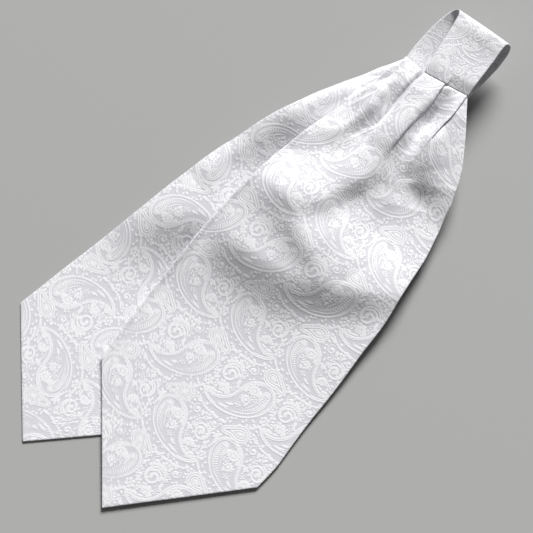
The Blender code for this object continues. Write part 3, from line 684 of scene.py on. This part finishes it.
def make_neckband(material, chart, seam_line):
    """The folded band, which butts against the upper blade's seam, and its length."""
    y, z, left, right = (column(BAND_STATIONS, BAND_COLUMNS, name) for name in BAND_COLUMNS)
    length = distances_along(np.stack([y, z], axis=1))
    at = edged_steps(length[-1], BAND_CELL) * length[-1]
    y, z, left, right = (smooth_table(at, length, values)[:, None] for values in (y, z, left, right))
    across = edged_steps(BAND_GRID_WIDTH, BAND_CELL)[None, :]
    width = right - left
    x = left + width * across
    # the front end lies level with the highest layer of the pleats
    near = np.abs(x[0][:, None] - seam_line[None, :, 0]) < SEAM_SEARCH
    pleats = np.max(np.where(near, seam_line[None, :, 2], 0.0), axis=1)
    padded = np.pad(pleats, SEAM_SMOOTH // 2, mode="edge")
    pleats = np.convolve(padded, np.full(SEAM_SMOOTH, 1 / SEAM_SMOOTH), "valid")
    rest = pleats + 0.5 * (BLADE_CLOTH - BAND_CLOTH)
    z = z + (rest - z[0]) * (1 - ease(at / SEAM_SETTLE))[:, None]
    # the folds lie on the front strand only
    z = z + fold_height(x, y + 0 * x, BAND_FOLDS) * (at < 0.5 * length[-1])[:, None]
    slant = seam_slant(x[:1]) * (1 - ease(at / BAND_SLANT_FADE))[:, None]
    points = np.stack([x, y + slant, z], axis=-1)
    to_side = np.minimum(across, 1 - across) * width
    inset = np.minimum(to_side, np.minimum(at, length[-1] - at)[:, None])
    cloth_uv = np.stack([x, at[:, None] + 0 * x], axis=-1)
    figure = figure_at(chart, cloth_uv[..., 0] / BAND_FIGURE_SCALE + BAND_FIGURE_AT[0],
                       cloth_uv[..., 1] / BAND_FIGURE_SCALE + BAND_FIGURE_AT[1])
    # the band runs away from the seam, so its rows are turned round to keep its face outwards
    mesh = sheet_mesh("neckband_cloth", points[::-1], inset[::-1], BAND_CLOTH, 1, figure[::-1],
                      cloth_uv[::-1])
    return add_piece("neckband_cloth", mesh, "neckband", material), length[-1]


def through(points, closed=False):
    """A smooth curve through given points."""
    p = np.asarray(points, float)
    if closed:
        p = np.vstack([p[-1], p, p[0], p[1]])
    else:
        p = np.vstack([2 * p[0] - p[1], p, 2 * p[-1] - p[-2]])
    t = np.linspace(0, 1, CURVE_POINTS, endpoint=False)[None, :, None]
    a, b, c, d = (p[k:len(p) - 3 + k][:, None, :] for k in range(4))
    square, cube = 2 * a - 5 * b + 4 * c - d, 3 * b - a - 3 * c + d
    curve = 0.5 * (2 * b + (c - a) * t + square * t ** 2 + cube * t ** 3)
    curve = curve.reshape(-1, 2)
    return curve if closed else np.vstack([curve, p[-2]])


def stroke(line, start_half, end_half, swell=0.0):
    """Outline of a stroke along a line, with a half width for each end, and fuller midway by swell."""
    along = np.gradient(line, axis=0)
    along /= np.linalg.norm(along, axis=1, keepdims=True)
    side = np.stack([-along[:, 1], along[:, 0]], axis=1)
    t = np.linspace(0, 1, len(line))[:, None]
    half = start_half + (end_half - start_half) * t + swell * np.sin(math.pi * t)
    return np.vstack([line + side * half, (line - side * half)[::-1]])


def circle(x, y, radius):
    """Outline of a dot."""
    angles = np.linspace(0, 2 * math.pi, CIRCLE_POINTS, endpoint=False)
    return np.stack([x + radius * np.cos(angles), y + radius * np.sin(angles)], axis=1)


def polygon_distance(x, y, outline):
    """Distance of points to a closed outline, below 0 inside it."""
    nearest = np.full(x.shape, np.inf)
    inside = np.zeros(x.shape, bool)
    for (ax, ay), (bx, by) in zip(outline, np.roll(outline, -1, axis=0)):
        ex, ey = bx - ax, by - ay
        length_squared = ex * ex + ey * ey
        if length_squared < SHORTEST_SIDE ** 2:
            continue
        t = np.clip(((x - ax) * ex + (y - ay) * ey) / length_squared, 0, 1)
        nearest = np.minimum(nearest, (x - ax - t * ex) ** 2 + (y - ay - t * ey) ** 2)
        if ay != by:
            inside ^= (y >= min(ay, by)) & (y < max(ay, by)) & (x < ax + (y - ay) * ex / ey)
    return np.sqrt(nearest) * np.where(inside, -1, 1)


class Chart:
    """The figure's tone over one repeat of the cloth."""

    def __init__(self):
        self.columns = round(REPEAT_ACROSS / CHART_PITCH)
        self.rows = round(REPEAT_ALONG / CHART_PITCH)
        self.tone = np.zeros((self.rows, self.columns))
        self.turned = False
        self.height = 1.0

    def paint(self, outline, fill):
        """Fill a closed outline, wrapped round the repeat and turned over in the second row."""
        outline = np.array(outline) * (1.0, self.height) + (0.0, SHRINKS_TO * (1 - self.height))
        if self.turned:
            outline = np.stack([TURNED_ROW[0] - outline[:, 0], TURNED_ROW[1] + outline[:, 1]], axis=1)
        margin = max(FILLS[fill][0][0], 0.0) + CHART_PITCH
        low = np.floor((outline.min(axis=0) - margin) / CHART_PITCH).astype(int)
        high = np.ceil((outline.max(axis=0) + margin) / CHART_PITCH).astype(int)
        across, along = np.arange(low[0], high[0]), np.arange(low[1], high[1])
        x, y = np.meshgrid((across + 0.5) * CHART_PITCH, (along + 0.5) * CHART_PITCH)
        distance = polygon_distance(x, y, outline)
        cells = np.ix_(along % self.rows, across % self.columns)
        tone = self.tone[cells]
        for outer, inner, value in FILLS[fill]:
            below = np.clip((outer - distance) / CHART_PITCH + 0.5, 0, 1)
            above = np.clip((distance - inner) / CHART_PITCH + 0.5, 0, 1)
            tone = tone + (value - tone) * below * above
        self.tone[cells] = tone

    def leaf(self, x, y, angle, length, half_width, fill="line", bow=0.0):
        """A pointed leaf from a point, in a direction in degrees."""
        turn = math.radians(angle)
        axis = np.array([math.cos(turn), math.sin(turn)])
        side = np.array([-axis[1], axis[0]])
        t = np.linspace(0, 1, LEAF_POINTS)[:, None]
        line = np.array([x, y]) + axis * length * t + side * bow * np.sin(math.pi * t)
        self.paint(stroke(line, LEAF_TIP, LEAF_TIP, half_width), fill)

    def dots(self, x, y, radius, turns, dot, fill):
        """Dots round a circle, at turns in radians."""
        for turn in turns:
            self.paint(circle(x + radius * math.cos(turn), y + radius * math.sin(turn), dot), fill)

    def fan(self, x, y, radius, first, last, petals):
        """A flower: petals with round tips about a ringed core."""
        start = FAN_PETAL_START * radius
        half_width = FAN_PETAL_HALF * radius + FAN_PETAL_LEAST
        for angle in np.linspace(first, last, petals):
            turn = math.radians(angle)
            self.leaf(x + start * math.cos(turn), y + start * math.sin(turn), angle,
                      FAN_PETAL_LENGTH * radius, half_width)
            self.dots(x, y, radius, [turn], FAN_TIP_DOT, "line")
        self.paint(circle(x, y, FAN_CORE * radius + FAN_CORE_LEAST), "rim")
        self.paint(circle(x, y, FAN_CORE_DOT), "line")

    def beads(self, points, spacing, radius):
        """A string of dots."""
        line = through(points)
        length = distances_along(line)
        for at in np.arange(0.5 * spacing, length[-1], spacing):
            x, y = (np.interp(at, length, values) for values in line.T)
            self.paint(circle(x, y, radius), "line")

    def comb(self, points, spacing, length, half_width, side, lean=0.0, fill="line"):
        """A fringe of small leaves on one side (1 left, -1 right) of a line."""
        line = through(points)
        run = distances_along(line)
        along = np.gradient(line, axis=0)
        for at in np.arange(0.5 * spacing, run[-1], spacing):
            x, y = (np.interp(at, run, values) for values in line.T)
            dx, dy = (np.interp(at, run, values) for values in along.T)
            angle = math.degrees(math.atan2(dy, dx)) + side * (90.0 - lean)
            self.leaf(x, y, angle, length, half_width, fill)

    def scroll(self, x, y, radius, turns, start, hand, half_width):
        """A spiral that winds in to a dot."""
        t = np.linspace(0, 1, int(SCROLL_POINTS * turns))
        angle = math.radians(start) + hand * 2 * math.pi * turns * t
        reach = radius * (1 - SCROLL_WIND * t ** SCROLL_PACE)
        line = np.stack([x + reach * np.cos(angle), y + reach * np.sin(angle)], axis=1)
        self.paint(stroke(line, SCROLL_START * half_width, half_width), "solid")
        self.paint(circle(line[-1, 0], line[-1, 1], SCROLL_DOT * half_width), "line")

    def floret(self, x, y, radius, petals, start=0.0):
        """A round flower of lobes."""
        turns = [math.radians(start + 360.0 * number / petals) for number in range(petals)]
        self.dots(x, y, radius, turns, FLORET_LOBE * radius, "solid")
        self.paint(circle(x, y, FLORET_CORE * radius), "rim")


def draw_filling(c):
    """Small leaves strewn over the whole ground, to show between the larger shapes."""
    draws = np.random.default_rng(FILLING_SEED)
    for _ in range(FILLING_LEAVES):
        x, y, angle = draws.uniform((0.0, 0.0, 0.0), (REPEAT_ACROSS, REPEAT_ALONG, 360.0))
        c.leaf(x, y, angle, FILLING_LENGTH, FILLING_HALF_WIDTH, "solid", FILLING_BOW)


def draw_ground(c):
    """Scrolls, combs and sprigs between the large teardrops."""
    c.comb(((25.2, 17.0), (24.9, 22.0), (25.2, 27.0), (27.0, 32.2), (31.0, 35.6), (36.0, 35.8),
            (40.6, 33.0)), 1.75, 2.7, 0.66, -1, 14)
    c.scroll(34.0, 26.4, 8.0, 1.5, 176, -1, 0.95)
    c.comb(((28.0, 26.0), (29.6, 30.6), (33.6, 32.2), (37.6, 30.4), (39.4, 26.4), (37.4, 22.4)),
           1.5, 1.7, 0.5, -1, 10)
    c.comb(((41.2, 33.4), (43.2, 28.4), (42.6, 22.4), (39.6, 19.0)), 1.7, 2.2, 0.66, 1, 20)
    c.comb(((46.0, 34.0), (45.4, 30.0), (44.6, 25.0)), 1.8, 1.6, 0.5, -1, 30)
    c.fan(32.0, 15.2, 4.8, 10, 210, 9)
    c.beads(((25.8, 13.2), (26.2, 17.0), (28.0, 19.8)), 1.4, 0.42)
    c.floret(38.4, 15.8, 1.8, 5, 20)
    c.floret(27.0, 19.6, 1.3, 5, 60)
    c.leaf(27.4, 10.2, 8, 8.6, 1.0, "lobe", 1.2)
    c.leaf(34.4, 10.4, 12, 5.6, 0.9, "solid", 0.8)
    c.comb(((17.6, 0.6), (22.0, -0.4), (27.0, -0.2), (32.0, 0.0), (37.6, 1.4), (42.6, 5.0)),
           1.8, 2.4, 0.72, -1, 30)
    c.scroll(23.6, -5.4, 3.2, 1.25, 80, 1, 0.66)
    c.scroll(38.0, -4.4, 3.6, 1.25, 100, -1, 0.7)
    c.floret(30.2, -5.0, 2.0, 6)
    c.floret(33.6, -8.8, 1.4, 5)
    c.leaf(26.6, -3.4, -50, 4.6, 0.9, "solid", 0.5)
    c.leaf(34.4, -2.6, -100, 4.4, 0.9, "solid", -0.5)
    c.leaf(41.4, -1.6, 10, 5.0, 0.9, "solid", 0.6)
    c.floret(44.6, 2.0, 1.7, 5, 50)
    c.comb(((-2.6, 24.0), (-2.8, 18.0), (-1.0, 12.4), (3.0, 7.6), (8.0, 4.4)), 1.7, 2.1, 0.66, -1, 20)


def draw_large(c):
    """The large teardrop: two rims, a long leaf along its back, flowers and beads in its belly."""
    c.height = LARGE_HEIGHT
    c.paint(through(OUTLINES["large"], closed=True), "large")
    c.paint(through(OUTLINES["leaf"], closed=True), "leaf")
    for side in (1, -1):
        c.comb(((6.8, 31.0), (6.7, 25.4), (8.2, 19.6), (11.6, 14.2), (16.8, 10.2), (22.4, 7.4)),
               1.6, 2.0, 0.42, side, 35, "cut")
    c.beads(((11.8, 34.6), (16.0, 33.4), (19.8, 29.8), (21.0, 24.6), (20.6, 19.4), (21.2, 14.6),
             (23.8, 10.8)), 1.35, 0.46)
    c.fan(15.2, 28.4, 4.6, -60, 270, 12)
    c.fan(16.4, 19.6, 3.9, -80, 180, 9)
    c.floret(12.7, 23.2, 1.5, 5, 10)
    c.floret(18.9, 13.6, 1.4, 5, 40)
    c.leaf(19.0, 23.4, 80, 4.4, 0.8, "line", -0.5)
    c.leaf(13.6, 18.6, -72, 4.4, 0.9, "line", 0.5)
    c.leaf(12.0, 31.6, -100, 5.0, 0.8, "line", -0.6)
    c.leaf(20.6, 12.0, -24, 6.6, 0.7, "line", -0.9)
    c.beads(((26.0, 7.9), (30.0, 6.4), (34.6, 6.4), (38.4, 8.6)), 1.25, 0.42)
    c.height = 1.0
    c.floret(43.2, 14.6, 2.1, 6, 15)


def draw_drop(c):
    """The small ringed drop below the large teardrop."""
    c.paint(through(OUTLINES["drop"], closed=True), "drop")


def draw_chart():
    """The whole repeat, the larger shapes painted over the smaller ones."""
    chart = Chart()
    draw_filling(chart)
    for draw in (draw_ground, draw_large, draw_drop):
        for turned in (False, True):
            chart.turned = turned
            draw(chart)
    return soften(chart.tone)


def soften(tone):
    """Blur the repeat a little, so that the mesh's points can carry it; the material sharpens it again."""
    cycles_along = np.fft.fftfreq(tone.shape[0], CHART_PITCH)[:, None]
    cycles_across = np.fft.fftfreq(tone.shape[1], CHART_PITCH)[None, :]
    spread = np.exp(-2 * (math.pi * CHART_BLUR) ** 2 * (cycles_along ** 2 + cycles_across ** 2))
    return np.real(np.fft.ifft2(np.fft.fft2(tone) * spread))


def figure_at(chart, across, along):
    """The chart's tone at places of the cloth, in millimetres."""
    rows, columns = chart.shape
    x = across / CHART_PITCH - 0.5
    y = along / CHART_PITCH - 0.5
    x0, y0 = np.floor(x).astype(int), np.floor(y).astype(int)
    fx, fy = x - x0, y - y0
    near = chart[y0 % rows, x0 % columns] * (1 - fx) + chart[y0 % rows, (x0 + 1) % columns] * fx
    far = chart[(y0 + 1) % rows, x0 % columns] * (1 - fx) + chart[(y0 + 1) % rows, (x0 + 1) % columns] * fx
    return near * (1 - fy) + far * fy


def silk_material():
    """White jacquard: satin ground, and a figure that is lighter, smoother and stands up a little."""
    material = bpy.data.materials.new("white_silk_jacquard")
    material.use_nodes = True
    nodes, links = material.node_tree.nodes, material.node_tree.links
    shader = nodes["Principled BSDF"]
    attribute = nodes.new("ShaderNodeAttribute")
    attribute.attribute_name = "figure"
    figure = nodes.new("ShaderNodeMapRange")
    figure.interpolation_type = "SMOOTHSTEP"
    figure.inputs["From Min"].default_value, figure.inputs["From Max"].default_value = FIGURE_STEP
    links.new(attribute.outputs["Fac"], figure.inputs["Value"])
    cloth = nodes.new("ShaderNodeUVMap")
    cloth.uv_map = "cloth"
    grain = nodes.new("ShaderNodeTexNoise")
    grain.inputs["Scale"].default_value = GRAIN_PER_MM
    grain.inputs["Detail"].default_value = GRAIN_DETAIL
    links.new(cloth.outputs["UV"], grain.inputs["Vector"])
    colour = nodes.new("ShaderNodeMix")
    colour.data_type = "RGBA"
    colour.inputs[MIX_COLOURS[0]].default_value = GROUND_COLOUR
    colour.inputs[MIX_COLOURS[1]].default_value = FIGURE_COLOUR
    links.new(figure.outputs["Result"], colour.inputs[MIX_FACTOR])
    grain_tone = nodes.new("ShaderNodeMapRange")
    grain_tone.inputs["From Min"].default_value, grain_tone.inputs["From Max"].default_value = GRAIN_RANGE
    grain_tone.inputs["To Min"].default_value, grain_tone.inputs["To Max"].default_value = GRAIN_COLOUR
    links.new(grain.outputs["Fac"], grain_tone.inputs["Value"])
    shaded = nodes.new("ShaderNodeMix")
    shaded.data_type = "RGBA"
    shaded.blend_type = "MULTIPLY"
    shaded.inputs[MIX_FACTOR].default_value = 1.0
    links.new(colour.outputs[MIX_COLOUR], shaded.inputs[MIX_COLOURS[0]])
    links.new(grain_tone.outputs["Result"], shaded.inputs[MIX_COLOURS[1]])
    links.new(shaded.outputs[MIX_COLOUR], shader.inputs["Base Color"])
    roughness = nodes.new("ShaderNodeMix")
    roughness.inputs[MIX_NUMBERS[0]].default_value = GROUND_ROUGHNESS
    roughness.inputs[MIX_NUMBERS[1]].default_value = FIGURE_ROUGHNESS
    links.new(figure.outputs["Result"], roughness.inputs[MIX_FACTOR])
    links.new(roughness.outputs[MIX_NUMBER], shader.inputs["Roughness"])
    weave = nodes.new("ShaderNodeBump")
    weave.inputs["Distance"].default_value = GRAIN_BUMP * MM
    links.new(grain.outputs["Fac"], weave.inputs["Height"])
    relief = nodes.new("ShaderNodeBump")
    relief.inputs["Distance"].default_value = FIGURE_BUMP * MM
    links.new(figure.outputs["Result"], relief.inputs["Height"])
    links.new(weave.outputs["Normal"], relief.inputs["Normal"])
    links.new(relief.outputs["Normal"], shader.inputs["Normal"])
    shader.inputs["Sheen Weight"].default_value = SHEEN
    shader.inputs["Sheen Roughness"].default_value = SHEEN_ROUGHNESS
    return material


def add_camera():
    """The camera, at the angle from which the cravat is looked at."""
    data = bpy.data.cameras.new("camera")
    data.lens = CAMERA_LENS
    data.sensor_width = CAMERA_SENSOR
    camera = bpy.data.objects.new("camera", data)
    bpy.context.scene.collection.objects.link(camera)
    origin = Vector((ORIGIN[0], ORIGIN[1], 0.0))
    place = (Vector(CAMERA_AT) - origin) * MM
    target = (Vector(CAMERA_LOOKS_AT) - origin) * MM
    camera.location = place
    camera.rotation_euler = (target - place).to_track_quat("-Z", "Y").to_euler()
    bpy.context.scene.camera = camera


def add_soft_light():
    """One large distant light, from beyond the neckband and a little to its left."""
    data = bpy.data.lights.new("softbox", "SUN")
    data.energy = LIGHT_STRENGTH
    data.angle = math.radians(LIGHT_SPREAD)
    light = bpy.data.objects.new("softbox", data)
    bpy.context.scene.collection.objects.link(light)
    turn, rise = math.radians(LIGHT_TURN), math.radians(LIGHT_RISE)
    level = math.cos(rise)
    towards = Vector((level * math.cos(turn), level * math.sin(turn), math.sin(rise)))
    light.location = towards
    light.rotation_euler = (-towards).to_track_quat("-Z", "Y").to_euler()


def add_stage():
    """A plain pale floor, the soft light and an even world."""
    bpy.ops.mesh.primitive_plane_add(size=FLOOR_SIZE, location=(0.0, 0.0, FLOOR_Z))
    floor = bpy.context.object
    floor.name = "floor"
    material = bpy.data.materials.new("pale_floor")
    material.use_nodes = True
    shader = material.node_tree.nodes["Principled BSDF"]
    shader.inputs["Base Color"].default_value = FLOOR_COLOUR
    shader.inputs["Roughness"].default_value = FLOOR_ROUGHNESS
    floor.data.materials.append(material)
    world = bpy.data.worlds.new("studio")
    bpy.context.scene.world = world
    world.use_nodes = True
    background = world.node_tree.nodes["Background"]
    background.inputs["Color"].default_value = WORLD_COLOUR
    background.inputs["Strength"].default_value = WORLD_STRENGTH
    add_soft_light()
    bpy.context.scene.view_settings.view_transform = "Standard"


def main():
    """Make the three pieces and set the stage."""
    material = silk_material()
    chart = draw_chart()
    upper, seam_line = make_upper_blade(material, chart)
    lower = make_lower_blade(material, chart)
    band, band_length = make_neckband(material, chart, seam_line)
    add_stage()
    add_camera()


main()
